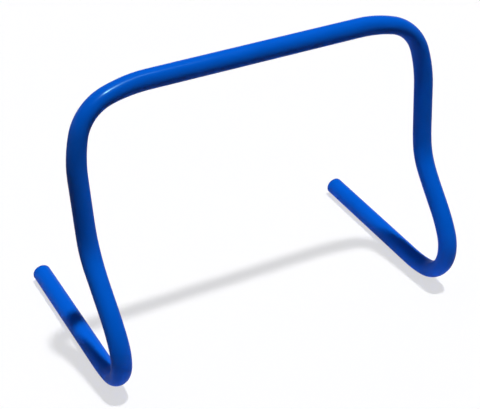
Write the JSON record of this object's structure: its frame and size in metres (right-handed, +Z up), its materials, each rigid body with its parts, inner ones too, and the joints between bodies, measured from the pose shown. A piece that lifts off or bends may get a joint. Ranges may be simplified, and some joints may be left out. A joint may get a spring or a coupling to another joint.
{
  "type": "speed hurdle",
  "caption": "Low training hurdle bent from round plastic tube: raised crossbar, legs kinked forward at the knee, feet running back along the floor, heels closed by push-in plugs.",
  "frame": {"origin": "on the floor, in the middle of the hurdle's width and depth", "axes": "+X along the crossbar, +Y the way the feet run back from the toes, +Z up from the floor to the crossbar"},
  "size_m": [0.4126, 0.2378, 0.3146],
  "materials": {
    "tube": "smooth glossy extruded plastic, coloured through",
    "plug": "satin moulded plastic, a little darker than the tube"
  },
  "bodies": {
    "root": {"hurdle_tube": "tube", "left_end_plug": "plug", "right_end_plug": "plug"}
  },
  "joints": []
}
